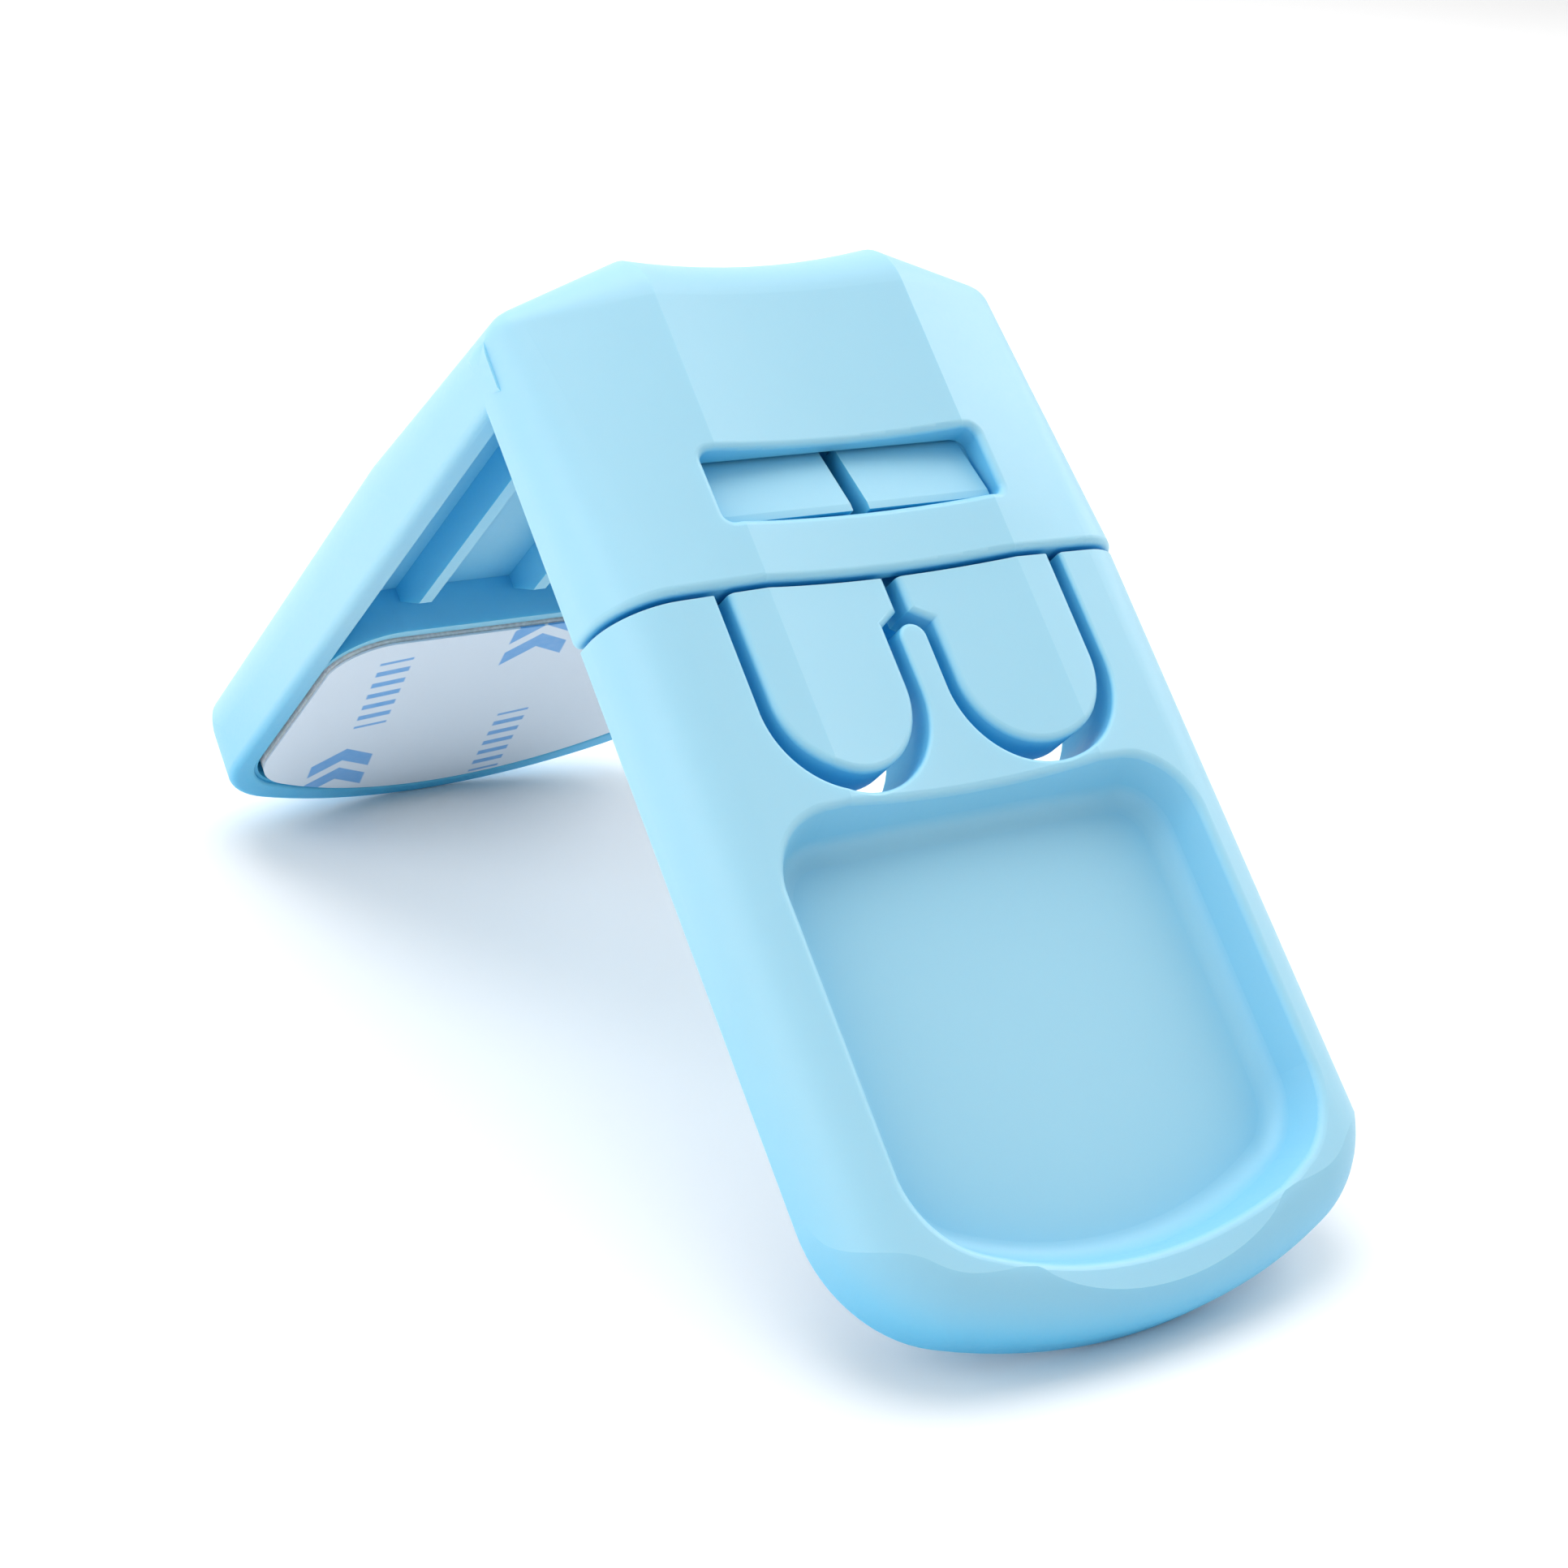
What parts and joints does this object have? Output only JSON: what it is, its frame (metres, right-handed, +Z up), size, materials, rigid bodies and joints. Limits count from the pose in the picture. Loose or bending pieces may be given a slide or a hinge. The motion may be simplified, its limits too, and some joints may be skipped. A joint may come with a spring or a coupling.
{
  "type": "two-button cupboard corner lock",
  "caption": "Right-angled child-safety lock for a cupboard or drawer: a corner hood latches over a tongued plate with two press buttons and a finger pocket, on foam pads.",
  "frame": {"origin": "middle of the footprint at ground level, with the lock standing on the ends of its two leaves", "axes": "+Z up, +X to the right along the fold, the front leaf with the buttons faces -Y and the back leaf faces +Y"},
  "size_m": [0.04, 0.0962, 0.0529],
  "materials": {
    "blue_plastic": "satin moulded",
    "pad_foam": "closed-cell foam tape",
    "release_liner": "coated release paper"
  },
  "bodies": {
    "plate": {"latch_plate": "blue_plastic", "plate_foam_pad": "pad_foam", "plate_pad_liner": "release_liner"},
    "hood": {"corner_hood": "blue_plastic", "hood_foam_pad": "pad_foam", "hood_pad_liner": "release_liner"},
    "left_button": {"left_button_arm": "blue_plastic", "left_catch_hook": "blue_plastic"},
    "right_button": {"right_button_arm": "blue_plastic", "right_catch_hook": "blue_plastic"}
  },
  "joints": [
    {"name": "hood_slide", "type": "slide", "parent": "plate", "child": "hood", "axis": [0, 0.7259, 0.6878], "range_m": [0, 0.025], "deforming": ["left_catch_hook", "right_catch_hook"]},
    {"name": "left_button_press", "type": "hinge", "parent": "plate", "child": "left_button", "pos_m": [-0.0065, -0.00058, 0.04625], "axis": [1, 0, 0], "range_deg": [0, 5.5], "stiffness_Nm_per_rad": 1.4},
    {"name": "right_button_press", "type": "hinge", "parent": "plate", "child": "right_button", "pos_m": [0.0065, -0.00058, 0.04625], "axis": [1, 0, 0], "range_deg": [0, 5.5], "stiffness_Nm_per_rad": 1.4}
  ]
}
